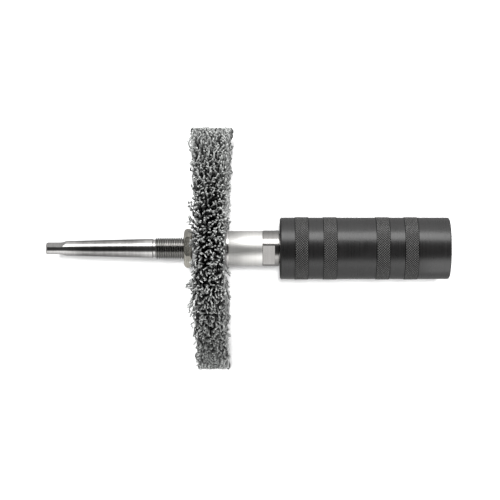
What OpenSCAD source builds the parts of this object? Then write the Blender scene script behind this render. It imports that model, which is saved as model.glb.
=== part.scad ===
// Two-handed rotary wheel brush: a taper shank spindle carries a crimped abrasive nylon
// brush between washers, and a free-running guide handle turns on two ball bearings.
// The tool axis is +X. The origin is on the axis at the gauge plane of the taper.

/* [Taper shank] */
// Taper diameter at the gauge plane
gauge_d = 12.065; // [8:0.005:18]
// Taper length for one unit of diameter change
taper_per = 20.047; // [19:0.001:21]
// Gauge plane to the end of the tang
shank_l = 62; // [50:0.5:80]
// Taper left standing beyond the gauge plane
large_end_l = 7.7; // [3:0.1:12]
// Diameter of the tang
tang_d = 8.7; // [6:0.1:9]
// Thickness across the tang flats
tang_t = 5.2; // [3:0.1:6]
// Straight length of the tang
tang_l = 9.1; // [6:0.1:12]
// Length of the cone between tang and taper
tang_cone_l = 4; // [2:0.1:6]

/* [Clamp thread and nut] */
// Nominal thread diameter, also the journal for the brush
thread_d = 14; // [12:0.1:18]
// Thread pitch
pitch = 1.5; // [1:0.25:2]
// Undercut between taper and thread
relief_l = 1.3; // [0.8:0.1:3]
// Thread standing free beside the nut
thread_free = 18.5; // [10:0.5:30]
// Nut width across flats
nut_af = 22; // [19:0.5:27]
// Nut thickness
nut_t = 5.6; // [4:0.1:11]
// Diameter of the pressure flange
flange_d = 24; // [22:0.5:32]
// Thickness of the pressure flange
flange_t = 4; // [2:0.1:6]
// Thickness of the backing washer
washer_t = 2.5; // [1.5:0.1:4]

/* [Wheel brush] */
// Outside diameter over the filaments
brush_d = 157; // [120:1:200]
// Width over the filaments at the rim
rim_w = 24; // [20:0.5:32]
// Width of the hub bush
hub_w = 17; // [14:0.5:24]
// Diameter of the side plates
plate_d = 72; // [60:1:90]
// Sheet thickness of the side plates
plate_t = 1.2; // [0.8:0.1:2]

/* [Sleeve and collar] */
// Diameter of the spacer sleeve
sleeve_d = 22.6; // [20:0.1:30]
// Length of the spacer sleeve
sleeve_l = 21.95; // [12:0.05:40]
// Diameter of the collar turned on the spindle
collar_d = 23.3; // [21:0.1:30]
// Length of the collar
collar_l = 10.75; // [9:0.05:20]
// Width across the two spanner flats
flats_af = 19; // [16:0.5:21]
// Length of the spanner flats
flats_l = 7.8; // [5:0.1:8.5]

/* [Guide handle] */
// Handle diameter on the plain lands
handle_d = 40; // [38:0.5:52]
// Handle length
handle_l = 110; // [90:1:150]
// Height of the knurled bands above the lands
band_h = 0.4; // [0.2:0.05:1]
// Width of each knurled band
band_w = 9; // [6:0.5:11]
// Chamfer on both handle edges
handle_chamfer = 0.9; // [0.4:0.1:2]

/* [Bearings] */
// Bearing bore
bearing_bore = 15; // [12:0.5:17]
// Bearing outside diameter
bearing_od = 32; // [30:0.5:36]
// Bearing width
bearing_w = 9; // [8:0.5:11]
// Ball diameter
ball_d = 4.762; // [3.5:0.001:5]

/* [Clearances] */
// Radial gap of a running or sliding fit
run_gap = 0.05; // [0.01:0.01:0.1]
// Radial gap of a seated ring
seat_gap = 0.01; // [0.01:0.01:0.03]
// Gap between faces that turn past each other
face_gap = 0.4; // [0.2:0.05:1]

/* [Hidden] */
$fn = 96;

// stations along the axis
x_tang = -shank_l;
x_small = x_tang + tang_l + tang_cone_l;
x_thread = large_end_l + relief_l;
x_nut = x_thread + thread_free;
x_flange = x_nut + nut_t;
x_hub = x_flange + flange_t;
x_washer = x_hub + hub_w;
x_sleeve = x_washer + washer_t;
x_collar = x_sleeve + sleeve_l;
x_spigot = x_collar + collar_l;
x_handle = x_spigot + face_gap;
x_end = x_handle + handle_l;
x_thread_end = x_flange + pitch;

// shank
r_small = (gauge_d + x_small / taper_per) / 2;
r_large = (gauge_d + large_end_l / taper_per) / 2;
tang_r = min(tang_d / 2, r_small - 0.2);
tang_half = min(tang_t / 2, tang_r - 0.6);

// thread and journal
journal_r = thread_d / 2;
thread_r = journal_r - 0.07;
thread_root_r = thread_r - 0.6134 * pitch;
relief_r = min(thread_root_r - 0.2, r_large - 0.3);
slide_r = journal_r + run_gap;
nut_r = max(nut_af, thread_d + 7) / 2;
flange_r = max(flange_d, 2 * nut_r + 1) / 2;

// brush core
bush_end_r = slide_r + 4;
bush_mid_r = bush_end_r + 2;
plate_r = max(plate_d / 2, bush_mid_r + 18);
plate_lip = 0.8;
shoulder_l = 1 + plate_t;
x_core = x_hub + shoulder_l;
core_w = hub_w - 2 * shoulder_l;
core_mid = x_hub + hub_w / 2;
channel_t = 1;
channel_r = plate_r - 9;
channel_h = 6;
wire_r = 1.4;
wire_grip = 0.02;
wire_ring_r = channel_r + channel_t + wire_r + 0.5;
brush_r = max(brush_d / 2, plate_r + 12);
rim_half = max(rim_w, hub_w + 2) / 2;

// sleeve and collar
sleeve_r = max(sleeve_d / 2, slide_r + 2.5);
collar_r = max(collar_d / 2, sleeve_r + 0.3);
flats_half = min(flats_af / 2, collar_r - 1);
flats_turn = 27;
tang_turn = -65;
nut_angle = -6.3;

// bearings
shaft_r = bearing_bore / 2 - seat_gap;
ring_gap = (bearing_od - bearing_bore) / 2;
pitch_r = (bearing_od + bearing_bore) / 4;
ball_r = min(ball_d / 2, ring_gap * 0.29, bearing_w * 0.28);
ball_count = 9;
inner_shoulder_r = pitch_r - 0.75 * ball_r;
outer_shoulder_r = pitch_r + 0.75 * ball_r;
shield_x = 0.6;
shield_t = 0.4;
shield_r = outer_shoulder_r + 0.8;
cage_half_w = ball_r + 0.5;
cage_half_t = 0.65;
seat_r = bearing_od / 2;
clip_t = 1.2;
cap_t = 3;
cap_recess = 0.6;
x_front = x_handle + cap_recess + cap_t + clip_t;
end_skirt = 7.4;
end_plate = 2;
x_rear = x_end - end_skirt - end_plate - bearing_w;
wave_t = 1.5;
spigot_r = shaft_r + 2;

// handle
handle_r = max(handle_d / 2, seat_r + 3);
core_bore_r = seat_r - 1.5;
band_x = [0.0863, 0.2535, 0.5625, 0.7295];
screw_r = 4;
screw_l = 20;
screw_head_r = 7;
screw_head_l = 4;
end_washer_t = 2;

// a profile of [radius, x] points turned about the tool axis
module turned(points) {
  rotate([0, 90, 0])
    rotate_extrude()
      polygon(points);
}

// a ring between two radii and two stations
module ring(r0, r1, x0, x1) {
  turned([[r0, x0], [r1, x0], [r1, x1], [r0, x1]]);
}

// a ring with a chamfer on both outer edges
module bevel_ring(r0, r1, x0, x1, c) {
  turned([[r0, x0], [r1 - c, x0], [r1, x0 + c], [r1, x1 - c], [r1 - c, x1], [r0, x1]]);
}

// repeats its child at every ball of a bearing
module each_ball() {
  for (i = [0 : ball_count - 1])
    rotate([i * 360 / ball_count, 0, 0])
      translate([0, pitch_r, 0])
        children();
}

module tang_cut() {
  flat_end = x_tang + tang_l - 0.4;
  rotate([tang_turn, 0, 0])
    for (side = [0, 180])
      rotate([side, 0, 0])
        translate([0, 10, 0])
          rotate([90, 0, 0])
            linear_extrude(height = 20)
              polygon([
                [x_tang - 1, tang_half],
                [flat_end, tang_half],
                [flat_end + 1.8, tang_half + 0.35],
                [flat_end + 3.2, tang_half + 1.1],
                [flat_end + 4.5, tang_half + 2.6],
                [flat_end + 4.5, 10],
                [x_tang - 1, 10],
              ]);
}

module collar_flats() {
  rotate([flats_turn, 0, 0])
    for (side = [0, 180])
      rotate([side, 0, 0])
        translate([x_collar + 0.1, -20, flats_half])
          cube([flats_l, 40, 20]);
}

function thread_profile() = [
  for (x = [x_thread : pitch : x_thread_end - pitch])
    each [
      [thread_root_r, x],
      [thread_root_r, x + 0.12 * pitch],
      [thread_r, x + 0.44 * pitch],
      [thread_r, x + 0.56 * pitch],
      [thread_root_r, x + 0.88 * pitch],
    ],
];

module spindle() {
  color([0.72, 0.73, 0.74])
    difference() {
      turned(concat(
        [
          [0, x_tang],
          [tang_r - 0.8, x_tang],
          [tang_r, x_tang + 0.8],
          [tang_r, x_tang + tang_l],
          [r_small, x_small],
          [r_large, large_end_l],
          [relief_r, large_end_l],
          [relief_r, x_thread],
        ],
        thread_profile(),
        [
          [thread_root_r, x_thread_end],
          [journal_r, x_thread_end + 0.9],
          [journal_r, x_collar],
          [collar_r - 0.3, x_collar],
          [collar_r, x_collar + 0.3],
          [collar_r, x_spigot - 0.3],
          [collar_r - 0.3, x_spigot],
          [spigot_r, x_spigot],
          [spigot_r, x_front],
          [shaft_r, x_front],
          [shaft_r, x_rear + bearing_w - 0.7],
          [shaft_r - 0.4, x_rear + bearing_w - 0.3],
          [0, x_rear + bearing_w - 0.3],
        ]));
      tang_cut();
      collar_flats();
      turned([[0, x_tang - 0.1], [1.7, x_tang - 0.1], [0, x_tang + 1.7]]);
      ring(0, screw_r + run_gap, x_rear + bearing_w - 0.3 - screw_l, x_end);
    }
}

module clamp_nut() {
  corner_r = nut_r / cos(30);
  chamfer_r = max(nut_r * 0.88, slide_r + 1.2);
  drop = min((corner_r - chamfer_r) * 0.8, 0.45 * nut_t);
  color([0.75, 0.73, 0.70])
    difference() {
      intersection() {
        rotate([nut_angle, 0, 0])
          translate([x_nut, 0, 0])
            rotate([0, 90, 0])
              rotate([0, 0, 30])
                cylinder(r = corner_r, h = nut_t, $fn = 6);
        turned([
          [0, x_nut],
          [chamfer_r, x_nut],
          [corner_r + 0.1, x_nut + drop],
          [corner_r + 0.1, x_nut + nut_t - drop],
          [chamfer_r, x_nut + nut_t],
          [0, x_nut + nut_t],
        ]);
      }
      ring(0, slide_r, x_nut - 1, x_nut + nut_t + 1);
      turned([[0, x_nut - 0.1], [slide_r + 0.8, x_nut - 0.1], [0, x_nut + slide_r + 0.7]]);
    }
}

module pressure_flange() {
  color([0.72, 0.73, 0.74])
    bevel_ring(slide_r, flange_r, x_flange, x_hub, 0.5);
}

module hub_bush() {
  color([0.66, 0.67, 0.68])
    turned([
      [slide_r, x_hub],
      [bush_end_r, x_hub],
      [bush_end_r, x_core],
      [bush_mid_r, x_core],
      [bush_mid_r, x_core + core_w],
      [bush_end_r, x_core + core_w],
      [bush_end_r, x_washer],
      [slide_r, x_washer],
    ]);
}

// dir is 1 for the front plate and -1 for the rear plate, x0 its face on the core
module side_plate(x0, dir) {
  color([0.62, 0.63, 0.64])
    turned([
      [bush_end_r + seat_gap, x0],
      [bush_end_r + seat_gap, x0 - dir * plate_t],
      [channel_r - 3, x0 - dir * plate_t],
      [channel_r - 2, x0 - dir * (plate_t + plate_lip)],
      [plate_r - 2, x0 - dir * (plate_t + plate_lip)],
      [plate_r, x0 - dir * plate_t],
      [plate_r, x0],
    ]);
}

module front_side_plate() {
  side_plate(x_core, 1);
}

module rear_side_plate() {
  side_plate(x_core + core_w, -1);
}

module core_channel() {
  color([0.60, 0.61, 0.62])
    turned([
      [channel_r, x_core],
      [channel_r + channel_h, x_core],
      [channel_r + channel_h, x_core + channel_t],
      [channel_r + channel_t, x_core + channel_t],
      [channel_r + channel_t, x_core + core_w - channel_t],
      [channel_r + channel_h, x_core + core_w - channel_t],
      [channel_r + channel_h, x_core + core_w],
      [channel_r, x_core + core_w],
    ]);
}

module retaining_wire() {
  color([0.60, 0.61, 0.62])
    rotate([0, 90, 0])
      rotate_extrude()
        translate([wire_ring_r, core_mid])
          circle(r = wire_r, $fn = 32);
}

module bristle_ring() {
  half = core_w / 2;
  color([0.58, 0.58, 0.57])
    difference() {
      turned([
        [channel_r + channel_t, core_mid - half + channel_t],
        [channel_r + channel_h, core_mid - half + channel_t],
        [channel_r + channel_h, core_mid - half],
        [plate_r, core_mid - half],
        [brush_r - 12, core_mid - rim_half],
        [brush_r - 0.8, core_mid - rim_half],
        [brush_r, core_mid - rim_half + 0.8],
        [brush_r, core_mid + rim_half - 0.8],
        [brush_r - 0.8, core_mid + rim_half],
        [brush_r - 12, core_mid + rim_half],
        [plate_r, core_mid + half],
        [channel_r + channel_h, core_mid + half],
        [channel_r + channel_h, core_mid + half - channel_t],
        [channel_r + channel_t, core_mid + half - channel_t],
      ]);
      rotate([0, 90, 0])
        rotate_extrude()
          translate([wire_ring_r, core_mid])
            circle(r = wire_r - wire_grip, $fn = 32);
    }
}

module backing_washer() {
  color([0.70, 0.71, 0.72])
    bevel_ring(slide_r, flange_r, x_washer, x_sleeve, 0.4);
}

module spacer_sleeve() {
  color([0.82, 0.81, 0.79])
    bevel_ring(slide_r, sleeve_r, x_sleeve, x_collar, 0.3);
}

module knurl_band(x0) {
  top = handle_r + band_h;
  turned([
    [handle_r - 0.5, x0],
    [handle_r, x0],
    [top, x0 + band_h],
    [top, x0 + band_w - band_h],
    [handle_r, x0 + band_w],
    [handle_r - 0.5, x0 + band_w],
  ]);
}

module handle_body() {
  c = handle_chamfer;
  color([0.07, 0.07, 0.08])
    difference() {
      union() {
        bevel_ring(0, handle_r, x_handle, x_end, c);
        for (at = band_x)
          knurl_band(x_handle + at * handle_l);
      }
      ring(0, seat_r, x_handle - 1, x_front + bearing_w);
      ring(0, core_bore_r, x_front, x_rear);
      ring(0, seat_r, x_rear - wave_t, x_end + 1);
      ring(0, seat_r + 0.85, x_front - clip_t - 0.05, x_front);
    }
}

module dust_cap() {
  color([0.15, 0.15, 0.16])
    bevel_ring(spigot_r + 0.3, seat_r - seat_gap, x_front - clip_t - cap_t,
      x_front - clip_t, 0.4);
}

module bearing_circlip() {
  inner = seat_r - 2.4;
  color([0.45, 0.45, 0.46])
    difference() {
      ring(inner, seat_r + 0.8, x_front - clip_t, x_front);
      translate([x_front - clip_t - 1, -3.5, inner - 4])
        cube([clip_t + 2, 7, 12]);
    }
}

module outer_ring(x0) {
  color([0.78, 0.79, 0.80])
    difference() {
      turned([
        [shield_r, x0],
        [seat_r - seat_gap - 0.3, x0],
        [seat_r - seat_gap, x0 + 0.3],
        [seat_r - seat_gap, x0 + bearing_w - 0.3],
        [seat_r - seat_gap - 0.3, x0 + bearing_w],
        [shield_r, x0 + bearing_w],
        [shield_r, x0 + bearing_w - shield_x - shield_t],
        [outer_shoulder_r, x0 + bearing_w - shield_x - shield_t],
        [outer_shoulder_r, x0 + shield_x + shield_t],
        [shield_r, x0 + shield_x + shield_t],
      ]);
      raceway(x0);
    }
}

module inner_ring(x0) {
  color([0.78, 0.79, 0.80])
    difference() {
      bevel_ring(bearing_bore / 2, inner_shoulder_r, x0, x0 + bearing_w, 0.3);
      raceway(x0);
    }
}

module raceway(x0) {
  rotate([0, 90, 0])
    rotate_extrude()
      translate([pitch_r, x0 + bearing_w / 2])
        circle(r = ball_r + run_gap, $fn = 32);
}

module balls(x0) {
  color([0.85, 0.86, 0.87])
    translate([x0 + bearing_w / 2, 0, 0])
      each_ball()
        sphere(r = ball_r, $fn = 32);
}

module cage(x0) {
  mid = x0 + bearing_w / 2;
  color([0.70, 0.62, 0.40])
    difference() {
      ring(pitch_r - cage_half_t, pitch_r + cage_half_t, mid - cage_half_w, mid + cage_half_w);
      translate([mid, 0, 0])
        each_ball()
          rotate([90, 0, 0])
            cylinder(r = ball_r + run_gap, h = 4, center = true);
    }
}

module shield(x0) {
  color([0.74, 0.74, 0.75])
    ring(inner_shoulder_r + 0.35, shield_r - seat_gap, x0, x0 + shield_t);
}

module front_outer_ring() {
  outer_ring(x_front);
}

module front_inner_ring() {
  inner_ring(x_front);
}

module front_balls() {
  balls(x_front);
}

module front_cage() {
  cage(x_front);
}

module front_outer_shield() {
  shield(x_front + shield_x);
}

module front_inner_shield() {
  shield(x_front + bearing_w - shield_x - shield_t);
}

module rear_outer_ring() {
  outer_ring(x_rear);
}

module rear_inner_ring() {
  inner_ring(x_rear);
}

module rear_balls() {
  balls(x_rear);
}

module rear_cage() {
  cage(x_rear);
}

module rear_outer_shield() {
  shield(x_rear + bearing_w - shield_x - shield_t);
}

module rear_inner_shield() {
  shield(x_rear + shield_x);
}

module inner_spacer() {
  color([0.70, 0.71, 0.72])
    bevel_ring(shaft_r + run_gap, inner_shoulder_r - 0.3, x_front + bearing_w, x_rear, 0.3);
}

module wave_washer() {
  outer = seat_r - 0.1;
  inner = core_bore_r - 0.6;
  x0 = x_rear - wave_t;
  color([0.50, 0.50, 0.52]) {
    ring(inner, outer, x0, x0 + 0.5);
    for (i = [0 : 2])
      rotate([i * 120, 0, 0])
        intersection() {
          ring(inner + 0.3, outer - 0.3, x0 + 0.3, x_rear);
          translate([x0, -5, 0])
            cube([2 * wave_t, 10, 2 * seat_r]);
        }
  }
}

module end_washer() {
  color([0.72, 0.73, 0.74])
    bevel_ring(screw_r + 0.2, inner_shoulder_r, x_rear + bearing_w,
      x_rear + bearing_w + end_washer_t, 0.3);
}

module end_screw() {
  head_x = x_rear + bearing_w + end_washer_t;
  color([0.30, 0.30, 0.31])
    difference() {
      turned([
        [0, head_x - screw_l + 2],
        [screw_r - 0.5, head_x - screw_l + 2],
        [screw_r, head_x - screw_l + 2.5],
        [screw_r, head_x],
        [screw_head_r, head_x],
        [screw_head_r, head_x + screw_head_l - 1],
        [screw_head_r - 1, head_x + screw_head_l],
        [0, head_x + screw_head_l],
      ]);
      translate([head_x + screw_head_l - 2.2, 0, 0])
        rotate([0, 90, 0])
          cylinder(r = 2.5 / cos(30), h = 3, $fn = 6);
    }
}

module end_cap() {
  outer = seat_r - seat_gap;
  cap_x = x_end - end_plate;
  color([0.06, 0.06, 0.07])
    turned([
      [0, cap_x],
      [outer - 2.6, cap_x],
      [outer - 2.6, x_rear + bearing_w],
      [outer, x_rear + bearing_w],
      [outer, x_end - 0.5],
      [outer - 0.5, x_end],
      [3, x_end],
      [2.2, x_end - 0.8],
      [0, x_end - 0.8],
    ]);
}

spindle();
clamp_nut();
pressure_flange();
hub_bush();
front_side_plate();
rear_side_plate();
core_channel();
retaining_wire();
bristle_ring();
backing_washer();
spacer_sleeve();
handle_body();
dust_cap();
bearing_circlip();
front_outer_ring();
front_inner_ring();
front_balls();
front_cage();
front_outer_shield();
front_inner_shield();
inner_spacer();
wave_washer();
rear_outer_ring();
rear_inner_ring();
rear_balls();
rear_cage();
rear_outer_shield();
rear_inner_shield();
end_washer();
end_screw();
end_cap();
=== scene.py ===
# %% [markdown]
# # A rotary wheel brush with a taper shank and a guide handle
# The tool is a steel spindle that a drill turns. It carries a wheel brush of crimped nylon
# filaments, a thin clamp nut, a bright sleeve and, at the far end, a black knurled handle
# that runs on ball bearings, so that the second hand can steady the work.
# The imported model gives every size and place. The cells below add the looks: crisp turned
# edges, a true helical thread, a diamond knurl and about 2400 filaments.

# %% Load the frame
import math
import random

import bmesh
import bpy
import numpy as np
from mathutils import Matrix, Vector, noise


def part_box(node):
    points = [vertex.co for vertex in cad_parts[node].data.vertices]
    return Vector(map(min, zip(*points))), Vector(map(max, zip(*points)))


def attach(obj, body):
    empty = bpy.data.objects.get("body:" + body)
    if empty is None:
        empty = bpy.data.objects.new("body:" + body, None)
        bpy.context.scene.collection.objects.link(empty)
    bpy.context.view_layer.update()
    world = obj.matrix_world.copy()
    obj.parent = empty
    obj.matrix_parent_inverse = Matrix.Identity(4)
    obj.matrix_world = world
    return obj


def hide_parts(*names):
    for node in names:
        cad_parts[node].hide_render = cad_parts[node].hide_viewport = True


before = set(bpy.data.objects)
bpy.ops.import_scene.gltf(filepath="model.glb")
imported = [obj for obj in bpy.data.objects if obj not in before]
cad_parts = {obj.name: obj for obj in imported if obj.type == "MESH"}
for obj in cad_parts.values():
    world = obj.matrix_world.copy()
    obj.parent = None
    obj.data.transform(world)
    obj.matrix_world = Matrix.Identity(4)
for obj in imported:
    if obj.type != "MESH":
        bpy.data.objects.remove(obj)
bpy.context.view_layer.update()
scene = bpy.context.scene
MM = 0.001
print("nodes:", len(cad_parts))

# %% [markdown]
# ## Reading sizes
# Nearly every piece is turned about the tool axis, which is X. So a piece needs three
# numbers: where it starts, where it ends, and its outer radius. All three can be read from
# the box of its node, which keeps the looks tied to the engineering model.

# %% Sizes of the turned nodes
def span(node):
    low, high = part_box(node)
    return float(low[0]), float(high[0]), round(float(max(high[1], high[2])), 5)


for part in ("spindle", "clamp_nut", "bristle_ring", "spacer_sleeve", "handle_body"):
    print(part, [round(v * 1000, 2) for v in span(part)])

# %% [markdown]
# ## The lathe
# A turned piece could come from a cylinder with loop cuts that are scaled one by one. It is
# quicker and closer to the workshop to draw half of its section as a few corners and spin
# that line round the axis, as a lathe does. A full turn is merged, so no seam is left.
# The sharp rings that the spin leaves are then bevelled a little, because a real turned
# edge always catches a thin line of light.

# %% A lathe, an edge breaker and a finisher
def lathe(profile, steps=160, closed=True):
    bm = bmesh.new()
    corners = [bm.verts.new((x, 0.0, r)) for x, r in profile]
    lines = [bm.edges.new(pair) for pair in zip(corners, corners[1:])]
    if closed:
        lines.append(bm.edges.new((corners[-1], corners[0])))
    bmesh.ops.spin(bm, geom=corners + lines, cent=(0, 0, 0), axis=(1, 0, 0),
                   angle=math.tau, steps=steps, use_merge=True)
    bmesh.ops.remove_doubles(bm, verts=bm.verts, dist=2e-6)
    bmesh.ops.recalc_face_normals(bm, faces=bm.faces)
    return bm


def break_edges(bm, width, angle=28, segments=2, keep=None):
    sharp = [e for e in bm.edges if len(e.link_faces) == 2
             and e.calc_face_angle(0) > math.radians(angle)
             and (keep is None or keep(e))]
    bmesh.ops.bevel(bm, geom=sharp, offset=width, offset_type="OFFSET",
                    segments=segments, profile=0.5, affect="EDGES", material=-1,
                    clamp_overlap=True)


def finish_piece(bm, name, material, body, sharp=32):
    mesh = bpy.data.meshes.new(name)
    bm.to_mesh(mesh)
    bm.free()
    mesh.materials.append(material)
    mesh.shade_smooth()
    mesh.set_sharp_from_angle(angle=math.radians(sharp))
    piece = bpy.data.objects.new(name, mesh)
    scene.collection.objects.link(piece)
    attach(piece, body)
    print(name, len(mesh.polygons), "faces")
    return piece


# %% [markdown]
# ## Steel, bright and dull
# Turned steel is a metal with very fine rings left by the tool. The rings could be modelled,
# but they are hundredths of a millimetre deep, so they belong in the roughness and the bump
# of the material. A noise that is squeezed hard along X and stretched across it gives rings.
# Two sizes of ring are mixed: coarse ones that show from afar, and fine ones for close views.
# A slow noise adds faint stains, and constant values sit directly on the shader's sockets.

# %% A helper for materials
def shader(name, colour, metallic, roughness):
    material = bpy.data.materials.new(name)
    material.use_nodes = True
    tree = material.node_tree
    bsdf = tree.nodes["Principled BSDF"]
    bsdf.inputs["Base Color"].default_value = (*colour, 1)
    bsdf.inputs["Metallic"].default_value = metallic
    bsdf.inputs["Roughness"].default_value = roughness
    return material, tree, bsdf


def stretched_noise(tree, scale, detail=3.0, rough=0.6):
    place = tree.nodes.new("ShaderNodeTexCoord")
    fit = tree.nodes.new("ShaderNodeMapping")
    fit.inputs["Scale"].default_value = scale
    grain = tree.nodes.new("ShaderNodeTexNoise")
    grain.inputs["Scale"].default_value = 1.0
    grain.inputs["Detail"].default_value = detail
    grain.inputs["Roughness"].default_value = rough
    tree.links.new(place.outputs["Object"], fit.inputs["Vector"])
    tree.links.new(fit.outputs["Vector"], grain.inputs["Vector"])
    return grain.outputs["Fac"]


def remap(tree, value, low, high, start=0.3, end=0.7):
    node = tree.nodes.new("ShaderNodeMapRange")
    node.inputs["From Min"].default_value = start
    node.inputs["From Max"].default_value = end
    node.inputs["To Min"].default_value = low
    node.inputs["To Max"].default_value = high
    tree.links.new(value, node.inputs["Value"])
    return node.outputs["Result"]


def combine(tree, kind, *values):
    node = tree.nodes.new("ShaderNodeMath")
    node.operation = kind
    for socket, value in zip(node.inputs, values):
        if isinstance(value, (int, float)):
            socket.default_value = value
        else:
            tree.links.new(value, socket)
    return node.outputs["Value"]


def tint(tree, value, dark, light):
    ramp = tree.nodes.new("ShaderNodeValToRGB")
    ramp.color_ramp.elements[0].color = (*dark, 1)
    ramp.color_ramp.elements[1].color = (*light, 1)
    tree.links.new(value, ramp.inputs["Fac"])
    return ramp.outputs["Color"]


def bump(tree, bsdf, height, distance, strength=0.6):
    node = tree.nodes.new("ShaderNodeBump")
    node.inputs["Strength"].default_value = strength
    node.inputs["Distance"].default_value = distance
    tree.links.new(height, node.inputs["Height"])
    tree.links.new(node.outputs["Normal"], bsdf.inputs["Normal"])


# %% Turned and ground steels
def turned_metal(name, dark, light, rough, spread, ring=520, fine=4200, depth=6e-6,
                 metallic=1.0):
    material, tree, bsdf = shader(name, light, metallic, rough)
    coarse_rings = stretched_noise(tree, (ring, 14, 14), 2.0)
    fine_rings = stretched_noise(tree, (fine, 40, 40), 4.0, 0.7)
    stains = stretched_noise(tree, (55, 70, 70), 5.0, 0.65)
    rings = combine(tree, "MULTIPLY_ADD", coarse_rings, 0.5,
                    combine(tree, "MULTIPLY", fine_rings, 0.5))
    blotch = combine(tree, "ADD", combine(tree, "MULTIPLY", rings, 0.6),
                     combine(tree, "MULTIPLY", stains, 0.4))
    tree.links.new(tint(tree, remap(tree, blotch, 0, 1, 0.36, 0.62), dark, light),
                   bsdf.inputs["Base Color"])
    tree.links.new(remap(tree, blotch, rough - spread, rough + spread, 0.34, 0.64),
                   bsdf.inputs["Roughness"])
    bump(tree, bsdf, rings, depth)
    return material


ground_steel = turned_metal("ground_steel", (0.42, 0.41, 0.40), (0.62, 0.61, 0.60), 0.15, 0.04)
thread_steel = turned_metal("thread_steel", (0.20, 0.20, 0.19), (0.36, 0.35, 0.34), 0.13, 0.03)
nut_steel = turned_metal("nut_steel", (0.34, 0.33, 0.29), (0.70, 0.67, 0.60), 0.26, 0.07,
                         260, 1500, 2.5e-5)
sleeve_steel = turned_metal("sleeve_steel", (0.86, 0.85, 0.82), (0.97, 0.96, 0.94), 0.44, 0.04)
collar_steel = turned_metal("collar_steel", (0.32, 0.31, 0.30), (0.43, 0.42, 0.41), 0.14, 0.05)
pressed_steel = turned_metal("pressed_steel", (0.34, 0.34, 0.34), (0.50, 0.50, 0.50), 0.36, 0.08,
                             160, 1500)
bearing_steel = turned_metal("bearing_steel", (0.58, 0.59, 0.60), (0.74, 0.75, 0.76), 0.12, 0.04)
cage_brass = turned_metal("cage_brass", (0.50, 0.36, 0.15), (0.72, 0.55, 0.28), 0.28, 0.06)
black_screw = turned_metal("black_screw", (0.020, 0.020, 0.022), (0.05, 0.05, 0.052), 0.40, 0.08,
                           300, 2500, metallic=0.0)
print("steels ready")

# %% Shank steel with a worn band
# The middle of the shank rubs in its socket, so it is darker than the tang and the shoulder.
def worn_band(material, first, last, soft, depth):
    tree = material.node_tree
    bsdf = tree.nodes["Principled BSDF"]
    place = tree.nodes.new("ShaderNodeTexCoord")
    parts = tree.nodes.new("ShaderNodeSeparateXYZ")
    tree.links.new(place.outputs["Object"], parts.inputs["Vector"])
    rise = remap(tree, parts.outputs["X"], 0, 1, first, first + soft)
    fall = remap(tree, parts.outputs["X"], 1, 0, last - soft, last)
    blot = remap(tree, stretched_noise(tree, (30, 260, 260), 4.0), 0.35, 1.0, 0.3, 0.6)
    worn = combine(tree, "MULTIPLY", combine(tree, "MULTIPLY", rise, fall), blot)
    shade = tree.nodes.new("ShaderNodeMixRGB")
    shade.blend_type = "MULTIPLY"
    shade.inputs["Color2"].default_value = (depth, depth, depth, 1)
    tree.links.new(worn, shade.inputs["Fac"])
    tree.links.new(bsdf.inputs["Base Color"].links[0].from_socket, shade.inputs["Color1"])
    tree.links.new(shade.outputs["Color"], bsdf.inputs["Base Color"])


shank_steel = turned_metal("shank_steel", (0.46, 0.45, 0.44), (0.68, 0.67, 0.66), 0.15, 0.04)
worn_band(shank_steel, -0.050, 0.006, 0.012, 0.42)
print("shank steel ready")

# %% [markdown]
# ## Black handle finish
# The handle is turned, knurled and then blackened. A blackened surface isn't a bare metal:
# it has almost no colour of its own and reflects like a satin varnish, so its metallic value
# is nought. The turning rings stay visible in the way they spread the highlight.
# On the knurl the crests are painted pale, partly as wear and partly as a painted glint, and
# the grooves are painted near black, darker than the finish, as painted shade. Painting that
# by hand would take a map. The distance from the tool axis already tells a crest from a
# groove, so that distance picks the tone, and the material fits the mesh by itself.

# %% Blackened aluminium
def black_finish(name, dark, light, rough, spread, ring, fine, depth):
    material = turned_metal(name, dark, light, rough, spread, ring, fine, depth, metallic=0.0)
    bsdf = material.node_tree.nodes["Principled BSDF"]
    bsdf.inputs["IOR"].default_value = 1.62
    return material


def crest_glint_groove_shade(material, groove_r, crest_r, groove_tone, crest_tone):
    tree = material.node_tree
    bsdf = tree.nodes["Principled BSDF"]
    place = tree.nodes.new("ShaderNodeTexCoord")
    across = tree.nodes.new("ShaderNodeMapping")
    across.inputs["Scale"].default_value = (0, 1, 1)
    reach = tree.nodes.new("ShaderNodeVectorMath")
    reach.operation = "LENGTH"
    tree.links.new(place.outputs["Object"], across.inputs["Vector"])
    tree.links.new(across.outputs["Vector"], reach.inputs[0])
    # painted shade in the grooves and a painted glint, partly wear, on the crests: the tone
    # follows the distance from the axis
    worn = remap(tree, reach.outputs["Value"], 0, 1, groove_r, crest_r)
    tree.links.new(tint(tree, worn, groove_tone, crest_tone), bsdf.inputs["Base Color"])
    bsdf.inputs["IOR"].default_value = 1.4


black_turned = black_finish("black_turned", (0.010, 0.010, 0.010), (0.020, 0.019, 0.019),
                            0.30, 0.08, 1300, 5200, 1.8e-5)
black_knurl = black_finish("black_knurl", (0.014, 0.014, 0.014), (0.030, 0.030, 0.029),
                           0.19, 0.04, 900, 4200, 2e-6)
# grooves painted near black as shade, crests painted pale as wear and glint
crest_glint_groove_shade(black_knurl, 20.20 * MM, 20.27 * MM, (0.002, 0.002, 0.002), (0.165, 0.163, 0.160))
black_plastic = black_finish("black_plastic", (0.012, 0.012, 0.013), (0.022, 0.022, 0.023),
                             0.42, 0.05, 2400, 5200, 8e-6)
print("black finishes ready")

# %% [markdown]
# ## The spindle
# One steel turning: a tang with two flats, the taper, an undercut, the clamp thread, a plain
# journal for the brush, and a collar with two spanner flats. The plain stretches come from
# the lathe. The flats are milled, so they are cut with a block, as a milling cutter would do
# it: the cutter's round leaves the curved run-out behind the tang.

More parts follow.
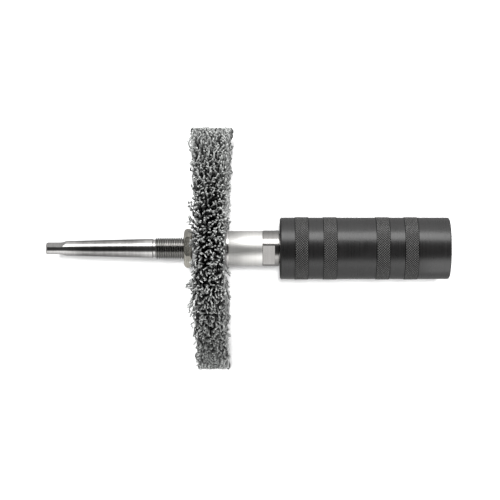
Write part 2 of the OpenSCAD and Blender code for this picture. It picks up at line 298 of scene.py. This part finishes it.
# %% A milling cut
def shape_with(piece, tool_bm, operation, sharp=32):
    mesh = bpy.data.meshes.new("tool")
    tool_bm.to_mesh(mesh)
    tool_bm.free()
    tool = bpy.data.objects.new("tool", mesh)
    scene.collection.objects.link(tool)
    change = piece.modifiers.new("change", "BOOLEAN")
    change.operation = operation
    change.solver = "EXACT"
    change.object = tool
    graph = bpy.context.evaluated_depsgraph_get()
    shaped = bpy.data.meshes.new_from_object(piece.evaluated_get(graph))
    piece.modifiers.clear()
    piece.data = shaped
    bpy.data.objects.remove(tool)
    shaped.shade_smooth()
    shaped.set_sharp_from_angle(angle=math.radians(sharp))


def block(outline, width, turn):
    bm = bmesh.new()
    face = bm.faces.new([bm.verts.new((x, -width, z)) for x, z in outline])
    grown = bmesh.ops.extrude_face_region(bm, geom=[face])
    moved = [v for v in grown["geom"] if isinstance(v, bmesh.types.BMVert)]
    bmesh.ops.translate(bm, verts=moved, vec=(0, 2 * width, 0))
    bmesh.ops.recalc_face_normals(bm, faces=bm.faces)
    bmesh.ops.rotate(bm, verts=bm.verts, matrix=Matrix.Rotation(math.radians(turn), 3, "X"))
    return bm


def soften(piece, width, segments=2):
    edge = piece.modifiers.new("edge", "BEVEL")
    edge.width = width
    edge.segments = segments
    edge.limit_method = "ANGLE"
    edge.angle_limit = math.radians(30)
    edge.harden_normals = False


# %% Shank with its tang
tang_tip = span("spindle")[0]
gauge_r = 12.065 / 2 * MM
taper = 1 / 20.047 / 2
tang_r, tang_half, tang_end = 4.35 * MM, 2.6 * MM, tang_tip + 9.1 * MM
small_end, large_end = tang_tip + 13.1 * MM, 7.7 * MM
thread_start = 9.0 * MM


def taper_r(x):
    return gauge_r + taper * x


shank = lathe([
    (tang_tip + 1.7 * MM, 0.0), (tang_tip, 1.7 * MM), (tang_tip, tang_r - 0.8 * MM),
    (tang_tip + 0.8 * MM, tang_r), (tang_end, tang_r),
    (small_end - 0.4 * MM, taper_r(small_end) - 0.12 * MM),
    (small_end, taper_r(small_end)), (large_end - 0.55 * MM, taper_r(large_end)),
    (large_end, taper_r(large_end) - 0.5 * MM), (large_end, 5.75 * MM),
    (thread_start + 0.3 * MM, 5.75 * MM), (thread_start + 0.3 * MM, 0.0),
], closed=False)
shank = finish_piece(shank, "spindle_shank", shank_steel, "spindle")
wheel_r = 5 * MM
arc = [(tang_end + wheel_r * math.sin(a), tang_half + wheel_r * (1 - math.cos(a)))
       for a in [math.radians(d) for d in range(0, 91, 10)]]
for side in (0, 180):
    cutter = [(tang_tip - MM, tang_half)] + arc + [(arc[-1][0], 12 * MM), (tang_tip - MM, 12 * MM)]
    shape_with(shank, block(cutter, 9 * MM, side - 65), "DIFFERENCE")
soften(shank, 0.22 * MM, 3)
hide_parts("spindle")

# %% [markdown]
# ## The clamp thread
# A thread could be a stack of rings, which looks right only from far away. A real one is a
# helix: one V-shaped groove that climbs by its pitch in every turn. Spin can make it, because
# it takes a small step along the axis with every step of the turn. The section spans exactly
# one pitch, so each turn meets the next, and merging the doubles closes the surface. Two
# plane cuts trim the ends square, and the first turn is lowered as a lead-in chamfer.

# %% A helical thread
def helix(first, last, crest, root, pitch, steps=72):
    shape = [(0.0, root), (0.07, root), (0.21, (root + crest) / 2), (0.34, crest - 0.04 * MM),
             (0.38, crest), (0.62, crest), (0.66, crest - 0.04 * MM),
             (0.79, (root + crest) / 2), (0.93, root), (1.0, root)]
    turns = math.ceil((last - first) / pitch) + 2
    bm = bmesh.new()
    corners = [bm.verts.new((first - pitch + f * pitch, 0.0, r)) for f, r in shape]
    lines = [bm.edges.new(pair) for pair in zip(corners, corners[1:])]
    bmesh.ops.spin(bm, geom=corners + lines, cent=(0, 0, 0), axis=(1, 0, 0),
                   dvec=(pitch / steps, 0, 0), angle=math.tau * turns,
                   steps=steps * turns, use_merge=False)
    bmesh.ops.remove_doubles(bm, verts=bm.verts, dist=3e-6)
    for x, way in ((first, -1), (last, 1)):
        bmesh.ops.bisect_plane(bm, geom=bm.verts[:] + bm.edges[:] + bm.faces[:],
                               plane_co=(x, 0, 0), plane_no=(way, 0, 0), clear_outer=True)
    for v in bm.verts:
        lead = root + (v.co.x - first) * 1.8
        r = math.hypot(v.co.y, v.co.z)
        if r > lead:
            v.co.y *= lead / r
            v.co.z *= lead / r
    open_edges = [e for e in bm.edges if e.is_boundary]
    bmesh.ops.holes_fill(bm, edges=open_edges, sides=0)
    bmesh.ops.recalc_face_normals(bm, faces=bm.faces)
    return bm


nut_first, nut_last, nut_corner = span("clamp_nut")
journal_start = nut_last + 1.5 * MM
thread = helix(thread_start, journal_start, 6.93 * MM, 6.01 * MM, 1.5 * MM)
thread = finish_piece(thread, "spindle_thread", thread_steel, "spindle", 40)

# %% Journal, collar and spigot
collar_first = span("spacer_sleeve")[1]
handle_first, handle_last, handle_crest = span("handle_body")
collar_last = handle_first - 0.4 * MM
collar_r = 11.65 * MM
bearing_first = span("front_inner_ring")[0]
spindle_last = span("spindle")[1]
journal = lathe([
    (journal_start - 0.2 * MM, 0.0), (journal_start - 0.2 * MM, 6.0 * MM),
    (journal_start + 0.9 * MM, 7.0 * MM), (collar_first, 7.0 * MM),
    (collar_first, collar_r - 0.35 * MM), (collar_first + 0.35 * MM, collar_r),
    (collar_last - 0.35 * MM, collar_r), (collar_last, collar_r - 0.35 * MM),
    (collar_last, 9.49 * MM), (bearing_first, 9.49 * MM), (bearing_first, 7.49 * MM),
    (spindle_last - 0.4 * MM, 7.49 * MM), (spindle_last, 7.09 * MM), (spindle_last, 4.05 * MM),
    (spindle_last - 20 * MM, 4.05 * MM), (spindle_last - 20 * MM, 0.0),
], closed=False)
collar = finish_piece(journal, "spindle_collar", collar_steel, "spindle")
flat_z, flat_first, flat_last = 9.5 * MM, collar_first + 0.15 * MM, collar_first + 7.9 * MM
for side in (0, 180):
    cutter = [(flat_first, flat_z), (flat_last, flat_z),
              (flat_last, 20 * MM), (flat_first, 20 * MM)]
    shape_with(collar, block(cutter, 15 * MM, side + 27), "DIFFERENCE")
soften(collar, 0.10 * MM)

# %% [markdown]
# ## The clamp nut
# A hexagon nut is a bar of six sides whose corners are turned away on both faces, which
# gives each side its curved end lines. Drawing those curves by hand is hard. Keeping what a
# hexagon bar and a turned lens have in common gives them for nothing, so that is how it is
# made here, with a boolean set to intersect.

# %% Hexagon nut
half_flats = 11.0 * MM
corner = half_flats / math.cos(math.radians(30))
bar = bmesh.new()
bmesh.ops.create_cone(bar, cap_ends=True, segments=6, radius1=corner, radius2=corner,
                      depth=nut_last - nut_first)
to_axis = Matrix.Rotation(math.radians(90), 4, "Y")
place = Matrix.Translation(((nut_first + nut_last) / 2, 0, 0))
turn = Matrix.Rotation(math.radians(-6.3), 4, "X")
bmesh.ops.transform(bar, matrix=place @ turn @ to_axis, verts=bar.verts)
nut = finish_piece(bar, "clamp_nut_hex", nut_steel, "nut", 25)
face_r, bore_r = 0.88 * half_flats, 7.02 * MM
rise = corner + 0.1 * MM - face_r
curve = [(0.0, 0.0), (0.10, 0.22), (0.22, 0.38), (0.40, 0.53), (0.62, 0.66), (0.90, 0.78),
         (1.25, 0.88), (1.65, 0.95), (2.1, 1.0)]
lens = lathe([(nut_first, bore_r + 0.8 * MM)]
             + [(nut_first + d * MM, face_r + f * rise) for d, f in curve]
             + [(nut_last - d * MM, face_r + f * rise) for d, f in reversed(curve)]
             + [(nut_last, bore_r + 0.8 * MM), (nut_last - 0.8 * MM, bore_r),
                (nut_first + 0.8 * MM, bore_r)], steps=240)
shape_with(nut, lens, "INTERSECT", 11)
soften(nut, 0.12 * MM)
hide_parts("clamp_nut")

# %% [markdown]
# ## Washers, sleeve and brush core
# These are plain turned or pressed rings. Each one is drawn as its section, spun, and given
# broken edges. The side plates are pressed from sheet, so they get a raised ring near the
# hub and a rolled rim instead of a plain flat, because that is what stiffens the sheet.

# %% Flange, washer, sleeve and bush
def plain_ring(name, node, bore, edge, material, body, radius=None):
    first, last, outer = span(node)
    bm = lathe([(first, bore), (first, radius or outer), (last, radius or outer), (last, bore)])
    break_edges(bm, edge)
    piece = finish_piece(bm, name, material, body)
    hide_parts(node)
    return piece


plain_ring("pressure_flange_ring", "pressure_flange", 7.05 * MM, 0.5 * MM, pressed_steel,
           "flange")
plain_ring("backing_washer_ring", "backing_washer", 7.05 * MM, 0.4 * MM, ground_steel,
           "spindle")
plain_ring("spacer_sleeve_tube", "spacer_sleeve", 7.05 * MM, 0.3 * MM, sleeve_steel,
           "spindle")

# %% Side plates
def side_plate(name, node, way):
    first, last, rim = span(node)
    back, front = (last, first) if way < 0 else (first, last)
    out = way * MM
    sheet = out * 1.2
    bm = lathe([
        (back, 11.06 * MM), (back + sheet, 11.06 * MM), (back + sheet, 15 * MM),
        (back + out * 1.9, 16 * MM), (back + out * 1.9, 18 * MM), (back + sheet, 19.2 * MM),
        (back + sheet, 23.5 * MM), (front, 25.0 * MM), (front, rim - 2.4 * MM),
        (front - out * 0.25, rim - 0.9 * MM), (back + out * 0.9, rim),
        (back + out * 0.1, rim - 0.05 * MM), (back, rim - 0.5 * MM),
    ], steps=192)
    break_edges(bm, 0.25 * MM, 15)
    piece = finish_piece(bm, name, pressed_steel, "spindle")
    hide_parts(node)
    print(name, "sheet", round(abs(sheet) / MM, 2), "mm")


side_plate("front_side_plate_pressed", "front_side_plate", -1)
side_plate("rear_side_plate_pressed", "rear_side_plate", 1)
bush_first, bush_last, bush_r = span("hub_bush")
step_r, step_l = 11.05 * MM, 2.2 * MM
bush = lathe([(bush_first, 7.05 * MM), (bush_first, step_r), (bush_first + step_l, step_r),
              (bush_first + step_l, bush_r), (bush_last - step_l, bush_r),
              (bush_last - step_l, step_r), (bush_last, step_r), (bush_last, 7.05 * MM)])
break_edges(bush, 0.3 * MM)
bush = finish_piece(bush, "hub_bush_ring", pressed_steel, "spindle")
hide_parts("hub_bush")

# %% [markdown]
# ## The guide handle
# The handle is a turned tube with four knurled bands. Its plain lands are one lathe piece,
# sunk a little where each band sits, and bored for the bearings. The small chamfers at both
# ends are drawn in the section, so the end edges show a clean bright line.

# %% Handle lands
handle_r, seat_r = 20.0 * MM, 16.0 * MM
handle_length = handle_last - handle_first
band_width = 9.0 * MM
band_starts = [handle_first + f * handle_length for f in (0.0863, 0.2535, 0.5625, 0.7295)]
clip_first, clip_last, _ = span("bearing_circlip")
front_bearing = span("front_outer_ring")
rear_bearing = span("rear_outer_ring")
wave_first = span("wave_washer")[0]

outline = [(handle_first, seat_r), (handle_first, handle_r - 0.9 * MM),
           (handle_first + 0.9 * MM, handle_r)]
for start in band_starts:
    outline += [(start - 0.12 * MM, handle_r), (start, handle_r - 0.12 * MM),
                (start + 0.02 * MM, handle_r - 0.5 * MM),
                (start + band_width - 0.02 * MM, handle_r - 0.5 * MM),
                (start + band_width, handle_r - 0.12 * MM),
                (start + band_width + 0.12 * MM, handle_r)]
outline += [(handle_last - 1.1 * MM, handle_r), (handle_last - 0.35 * MM, handle_r - 0.32 * MM),
            (handle_last, handle_r - 1.1 * MM), (handle_last, seat_r),
            (wave_first, seat_r), (wave_first, 14.5 * MM),
            (front_bearing[1], 14.5 * MM), (front_bearing[1], seat_r),
            (clip_last, seat_r), (clip_last, seat_r + 0.85 * MM),
            (clip_first - 0.05 * MM, seat_r + 0.85 * MM), (clip_first - 0.05 * MM, seat_r)]
lands = finish_piece(lathe(outline, 224), "handle_lands", black_turned, "handle")
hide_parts("handle_body")

# %% [markdown]
# ## Diamond knurl
# A knurl is made by two hard wheels that press two sets of slanting grooves into the bar,
# one leaning each way. Where both sets miss, a small pyramid is left. A bump map can't show
# that at the outline, so the diamonds are real. A ring of corners is extruded in short steps,
# and each step is twisted a little, so the mesh lines already follow one set of grooves and
# the diagonals follow the other. Then every corner is pushed out by how far it is from the
# nearest groove. Only the tip of each pyramid is left flat, as on a knurl that has been used.
# Pairs of bands share one object, which keeps every piece light.

# %% Knurled bands
def knurled_band(bm, first, last, low, high, around=80, cuts=4):
    step = (last - first) / round((last - first) / (0.2 * MM))
    ring = bmesh.ops.create_circle(bm, cap_ends=False, segments=around * cuts, radius=low)
    verts = ring["verts"]
    bmesh.ops.rotate(bm, verts=verts, matrix=Matrix.Rotation(math.radians(90), 3, "Y"))
    bmesh.ops.translate(bm, verts=verts, vec=(first, 0, 0))
    edges = list({e for v in verts for e in v.link_edges})
    front, front_edges, every = verts, edges, list(verts)
    twist = Matrix.Rotation(math.tau / around / (2 * cuts), 3, "X")
    for _ in range(round((last - first) / step)):
        grown = bmesh.ops.extrude_edge_only(bm, edges=edges)["geom"]
        verts = [g for g in grown if isinstance(g, bmesh.types.BMVert)]
        fresh = set(verts)
        edges = [g for g in grown if isinstance(g, bmesh.types.BMEdge)
                 and g.verts[0] in fresh and g.verts[1] in fresh]
        bmesh.ops.rotate(bm, verts=verts, matrix=twist)
        bmesh.ops.translate(bm, verts=verts, vec=(step, 0, 0))
        every += verts
    start_angle = math.atan2(front[0].co.z, front[0].co.y)
    for v in every:
        along = (v.co.x - first) / (2 * cuts * step)
        turn = (math.atan2(v.co.z, v.co.y) - start_angle) * around / math.tau
        gap = min(abs(t - round(t)) * 2 for t in (turn + along, turn - along))
        ramp = min(1.0, min(v.co.x - first, last - v.co.x) / (0.45 * MM))
        r = low + (high - low) * min(1.0, 1.15 * gap) * ramp
        grow = r / math.hypot(v.co.y, v.co.z)
        v.co.y *= grow
        v.co.z *= grow
    rims = []
    for edge_ring in (front_edges, edges):
        grown = bmesh.ops.extrude_edge_only(bm, edges=edge_ring)["geom"]
        inner = [g for g in grown if isinstance(g, bmesh.types.BMVert)]
        fresh = set(inner)
        rims += [g for g in grown if isinstance(g, bmesh.types.BMEdge)
                 and g.verts[0] in fresh and g.verts[1] in fresh]
        shrink = (handle_r - 0.9 * MM) / low
        bmesh.ops.scale(bm, verts=inner, vec=(1, shrink, shrink))
    bmesh.ops.bridge_loops(bm, edges=rims)


for k, start in enumerate(band_starts):
    if k % 2 == 0:
        bands = bmesh.new()
    knurled_band(bands, start, start + band_width, handle_r + 0.10 * MM, handle_r + 0.4 * MM)
    if k % 2:
        bmesh.ops.recalc_face_normals(bands, faces=bands.faces)
        knurls = finish_piece(bands, f"handle_knurls_{k // 2 + 1}", black_knurl, "handle",
                              22)
        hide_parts("handle_body")

# %% Dust cap and end cap
cap_first, cap_last, cap_r = span("dust_cap")
dust = lathe([(cap_first + 0.5 * MM, 9.79 * MM), (cap_first + 0.5 * MM, 10.9 * MM),
              (cap_first, 11.3 * MM), (cap_first, 14.3 * MM), (cap_first + 0.7 * MM, 14.9 * MM),
              (cap_first + 0.7 * MM, 15.6 * MM), (cap_first + 1.0 * MM, cap_r),
              (cap_last, cap_r), (cap_last, 9.79 * MM)])
break_edges(dust, 0.15 * MM, 20)
dust = finish_piece(dust, "dust_cap_disc", black_plastic, "handle")
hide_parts("dust_cap")

end_first, end_last, end_r = span("end_cap")
end = lathe([(end_last - 2.0 * MM, 0.0), (end_last - 2.0 * MM, end_r - 2.6 * MM),
             (end_first, end_r - 2.6 * MM), (end_first, end_r), (end_last - 0.5 * MM, end_r),
             (end_last, end_r - 0.5 * MM), (end_last, 13.6 * MM),
             (end_last - 0.35 * MM, 13.2 * MM),
             (end_last - 0.35 * MM, 12.6 * MM), (end_last, 12.2 * MM), (end_last, 3.0 * MM),
             (end_last - 0.8 * MM, 2.2 * MM), (end_last - 0.8 * MM, 0.0)], closed=False)
break_edges(end, 0.12 * MM, 20)
end = finish_piece(end, "end_cap_plug", black_plastic, "handle")
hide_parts("end_cap")

# %% [markdown]
# ## Inner parts
# The bearings, spacers and screw sit inside the handle. Their engineering shapes are already
# right, so they only get proper metals in place of the plain colours they came with.

# %% Metals for the inner parts
inner = {
    bearing_steel: ["front_outer_ring", "front_inner_ring", "front_balls", "front_outer_shield",
                    "front_inner_shield", "rear_outer_ring", "rear_inner_ring", "rear_balls",
                    "rear_outer_shield", "rear_inner_shield"],
    cage_brass: ["front_cage", "rear_cage"],
    pressed_steel: ["core_channel", "retaining_wire", "bearing_circlip", "wave_washer"],
    ground_steel: ["inner_spacer", "end_washer"],
    black_screw: ["end_screw"],
}
for metal, names in inner.items():
    for name in names:
        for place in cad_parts[name].material_slots:
            place.material = metal
    print(metal.name, len(names), "nodes")

# %% [markdown]
# ## Crimped nylon filaments
# The brush is a bundle of round nylon filaments with abrasive grit in them, bent into a
# zigzag so that they prop each other up. Hair particles could fill the ring, but they can't
# be exported as they look. Curves with a round section can: each filament is one line of
# points from the core to the trimmed rim, and the bevel of the curve gives it thickness.
# Noise moves neighbours together, so the tips form tufts with dark gaps between them. That
# noise takes its seed from the clock unless it is given one. It gets a fixed seed, so that
# the brush grows alike on every run.
# Light hardly reaches the deep parts of the bundle, so they are painted nearly black as
# painted shade. Each corner of the mesh therefore stores a number called shade, high at the
# rim and on both faces and low inside, and the material turns it into a tone. The stored
# number also holds a random tone per filament, and painted shade that darkens the -Y half of
# the brush. It is a stored attribute, so it stays put whatever the light does.

# %% Nylon with grit
filament_nylon, tree, bsdf = shader("filament_nylon", (0.3, 0.3, 0.3), 0.0, 0.32)
bsdf.inputs["IOR"].default_value = 1.53
# reads the stored shade: a random tone per filament times painted shade
shade = tree.nodes.new("ShaderNodeAttribute")
shade.attribute_name = "shade"
grit = stretched_noise(tree, (2600, 2600, 2600), 3.0)
mixed = combine(tree, "MULTIPLY", shade.outputs["Fac"], remap(tree, grit, 0.75, 1.15))
tree.links.new(tint(tree, mixed, (0.012, 0.013, 0.013), (0.95, 0.97, 0.95)),
               bsdf.inputs["Base Color"])
tree.links.new(remap(tree, grit, 0.22, 0.46), bsdf.inputs["Roughness"])
bump(tree, bsdf, grit, 5e-5, 0.5)

# %% The path of one filament
hub_r = 32.0 * MM
ring_first, ring_last, _ = span("bristle_ring")
rim_r = 78.5 * MM
core_half = 5.0 * MM
brush_mid = (ring_first + ring_last) / 2
rand = random.Random(11)
drift_seed = 1795086296
noise.seed_set(drift_seed)
tufts = [(30, 3.2, 3.4), (69, 2.0, 2.8), (76, 2.2, 3.6), (108, 3.0, 3.0), (117, 4.0, 3.2),
         (126, 3.0, 2.4), (205, 4.0, 3.0), (262, 5.0, 2.6), (318, 4.0, 3.0)]
stations = [0, 0.14, 0.27, 0.39, 0.49, 0.58, 0.655, 0.72, 0.775, 0.82, 0.86, 0.895, 0.925, 0.952,
            0.977, 1.0]


def filament(phi, side):
    top = max(0.0, math.cos(phi)) ** 2
    half = (11.0 + 2.2 * top) * MM
    if side < 0:
        low = min(1.0, max(0.0, (-math.cos(phi) - 0.6) / 0.25))
        half -= (1.2 * math.cos(phi) ** 2 + 2.0 * low) * MM
    else:
        half -= 1.4 * max(0.0, math.sin(phi)) * MM
    tip_r = rim_r - abs(rand.gauss(0, 0.35)) * MM
    drift = noise.noise_vector(Vector((7 * math.cos(phi), 7 * math.sin(phi), 1.7 * side + 3)))
    lean_x = (1.9 * drift.x + rand.gauss(0, 0.55)) * MM * (0.35 if side > 0.55 else 1.0)
    lean_t = (2.6 * drift.y + rand.gauss(0, 0.9)) * MM
    if side < -0.72:
        for centre, width, reach in tufts:
            off = (math.degrees(phi) - centre + 180) % 360 - 180
            if abs(off) < width:
                lean_x -= reach * MM * rand.uniform(0.4, 1.0)
    wave, phase = rand.uniform(6.2, 8.2) * MM, rand.uniform(0, math.tau)
    plane, roll = rand.uniform(0, math.tau), rand.uniform(-0.9, 0.9)
    size = rand.uniform(1.0, 1.5) * MM
    points = []
    for t in stations:
        r = hub_r + (tip_r - hub_r) * t
        x = side * (core_half + (half - core_half) * t ** 0.92) + lean_x * t * t
        sway = lean_t * t * t
        crimp = size * (0.35 + 0.65 * t) * math.sin(math.tau * r / wave + phase)
        x += crimp * math.cos(plane + roll * t * 3)
        sway += crimp * math.sin(plane + roll * t * 3)
        a = phi + sway / r
        points += [brush_mid + x, r * math.cos(a), r * math.sin(a), 1.0]
    return points


# %% Growing the ring of filaments
around, layers = 222, 11
strands = []
for i in range(around):
    for j in range(layers):
        phi = (i + rand.uniform(-0.45, 0.45)) / around * math.tau
        side = ((j + 0.5 + rand.uniform(-0.45, 0.45)) / layers) * 2 - 1
        strands.append(filament(phi, side))
rand.shuffle(strands)
print("filaments:", len(strands))


def grow(name, group):
    curve = bpy.data.curves.new(name, "CURVE")
    curve.dimensions = "3D"
    curve.bevel_depth = 0.47 * MM
    curve.bevel_resolution = 0
    curve.use_fill_caps = True
    for points in group:
        line = curve.splines.new("POLY")
        line.points.add(len(stations) - 1)
        line.points.foreach_set("co", points)
    holder = bpy.data.objects.new(name + "_curve", curve)
    scene.collection.objects.link(holder)
    graph = bpy.context.evaluated_depsgraph_get()
    mesh = bpy.data.meshes.new_from_object(holder.evaluated_get(graph))
    bpy.data.objects.remove(holder)
    mesh.name = name
    mesh.materials.clear()
    mesh.materials.append(filament_nylon)
    per = len(mesh.vertices) // len(group)
    # a random tone per filament, times painted shade that makes the filaments on the -Y half of
    # the brush up to 40 % darker
    tone_and_side_shade = np.repeat([(rand.uniform(0.1, 0.5) if rand.random() < 0.36 else rand.uniform(0.75, 1))
                      * (1 - 0.4 * max(0.0, -points[-3] / rim_r)) for points in group], per)
    co = np.empty(len(mesh.vertices) * 3, np.float32)
    mesh.vertices.foreach_get("co", co)
    co = co.reshape(-1, 3)
    out = np.hypot(co[:, 1], co[:, 2])
    # painted shade: corners deep inside the bundle are darker because light hardly reaches them,
    # and the rim and both faces stay pale
    depth = 1 - (rim_r - out) / (5 * MM)
    along = np.clip((out - hub_r) / (rim_r - hub_r), 0, 1)
    edge = np.abs(co[:, 0] - brush_mid) / ((5.0 + 6.5 * along) * MM)
    light = np.maximum(depth, 0.8 * np.clip((edge - 0.82) / 0.18, 0, 1))
    shade = mesh.attributes.new("shade", "FLOAT", "POINT")
    shade.data.foreach_set("value", (tone_and_side_shade * np.clip(light, 0.04, 1)).astype(np.float32))
    piece = bpy.data.objects.new(name, mesh)
    scene.collection.objects.link(piece)
    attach(piece, "spindle")
    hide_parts("bristle_ring")
    print(name, len(group), "filaments,", per, "corners each,", len(mesh.polygons), "faces")
    return piece


third = len(strands) // 3 + 1
for k, letter in enumerate("abc"):
    grow("filaments_" + letter, strands[k * third:(k + 1) * third])

# %% [markdown]
# ## Floor, light and camera
# The tool stands on the rim of its brush on a pale floor. A polished bar is a mirror: what it
# shows is the room. A real studio hangs white and black sheets round the tool, and that could
# be built from large panels. Every piece here is turned about X, so one number is enough: the
# angle round the tool axis. The world is painted by that angle, with a bright wall behind, a
# paler one in front and a dark gap between them that draws the dark line along the steel.
# Two soft lamps strengthen the walls and a small one brightens the end of the handle. A sun
# lights the floor only, so the soft shadow can be set without changing the steel, and the
# floor is left out of reflections, because the painted walls already stand for it.

# %% Floor
floor_bm = bmesh.new()
bmesh.ops.create_grid(floor_bm, x_segments=1, y_segments=1, size=6.0)
bmesh.ops.translate(floor_bm, verts=floor_bm.verts, vec=(0, 0, -rim_r - 0.2 * MM))
floor_mesh = bpy.data.meshes.new("floor")
floor_bm.to_mesh(floor_mesh)
floor_bm.free()
floor = bpy.data.objects.new("floor", floor_mesh)
scene.collection.objects.link(floor)
floor_paint, _, _ = shader("floor_paint", (0.62, 0.62, 0.62), 0.0, 0.9)
floor_mesh.materials.append(floor_paint)
floor.visible_glossy = False

# %% Lamps
def soft_lamp(name, angle, distance, size, power, middle=0.07):
    lamp = bpy.data.lights.new(name, "AREA")
    lamp.shape = "RECTANGLE"
    lamp.size, lamp.size_y = size
    lamp.energy = power
    holder = bpy.data.objects.new(name, lamp)
    a = math.radians(angle)
    holder.location = (middle, distance * math.sin(a), distance * math.cos(a))
    holder.rotation_euler = (-a, 0, 0)
    holder.visible_camera = False
    scene.collection.objects.link(holder)
    return holder


soft_lamp("key_softbox", 46, 1.2, (2.2, 0.66), 16)
soft_lamp("fill_softbox", -58, 1.3, (2.2, 0.60), 1.1)
soft_lamp("end_softbox", -70, 0.4, (0.25, 0.50), 0.35, middle=0.36)
shadow_lamp = bpy.data.lights.new("floor_lamp", "SUN")
shadow_lamp.energy = 4.2
shadow_lamp.angle = math.radians(3.5)
shadow_holder = bpy.data.objects.new("floor_lamp", shadow_lamp)
shadow_holder.rotation_euler = (math.radians(-2.4), 0, 0)
scene.collection.objects.link(shadow_holder)
lit = bpy.data.collections.new("floor_only")
lit.objects.link(floor)
shadow_holder.light_linking.receiver_collection = lit
shadow_holder.visible_glossy = False

world = bpy.data.worlds.new("studio")
scene.world = world
world.use_nodes = True
sky = world.node_tree
direction = sky.nodes.new("ShaderNodeTexCoord")
split = sky.nodes.new("ShaderNodeSeparateXYZ")
sky.links.new(direction.outputs["Generated"], split.inputs["Vector"])
angle = combine(sky, "ARCTAN2", split.outputs["Y"], split.outputs["Z"])
ramp = sky.nodes.new("ShaderNodeValToRGB")
sky.links.new(combine(sky, "MULTIPLY_ADD", angle, 0.5 / math.pi, 0.5), ramp.inputs["Fac"])
brightest = 1.25
walls = [(-180, 0.35), (-135, 0.45), (-112, 0.62), (-90, 0.86), (-66, 1.06), (-53, 1.00),
         (-44, 0.52), (-33, 0.09), (-20, 0.05), (12, 0.05), (22, 0.20), (70, 1.25), (90, 0.95),
         (112, 0.62), (140, 0.42), (180, 0.35)]
stops = ramp.color_ramp.elements
for k, (deg, level) in enumerate(walls):
    inside = 0 < k < len(walls) - 1
    stop = stops.new((deg + 180) / 360) if inside else stops[-1 if k else 0]
    stop.color = (*[level / brightest] * 3, 1)
ends = sky.nodes.new("ShaderNodeMixRGB")
ends.inputs["Color2"].default_value = (0.6, 0.6, 0.6, 1)
sky.links.new(remap(sky, combine(sky, "ABSOLUTE", split.outputs["X"], 0.0), 0, 1, 0.62, 0.9),
              ends.inputs["Fac"])
sky.links.new(ramp.outputs["Color"], ends.inputs["Color1"])
sky.links.new(ends.outputs["Color"], sky.nodes["Background"].inputs["Color"])
sky.nodes["Background"].inputs["Strength"].default_value = brightest

# %% Camera
lens = bpy.data.cameras.new("camera")
eye = bpy.data.objects.new("camera", lens)
scene.collection.objects.link(eye)
distance, view_width = 1.25, 0.325
eye.location = (0.0704, -0.0011, distance)
eye.rotation_euler = (0, 0, 0)
lens.sensor_width = 36
lens.lens = lens.sensor_width * distance / view_width
lens.clip_end = 50
scene.camera = eye
scene.view_settings.view_transform = "Standard"
scene.view_settings.look = "None"
print("camera ready")
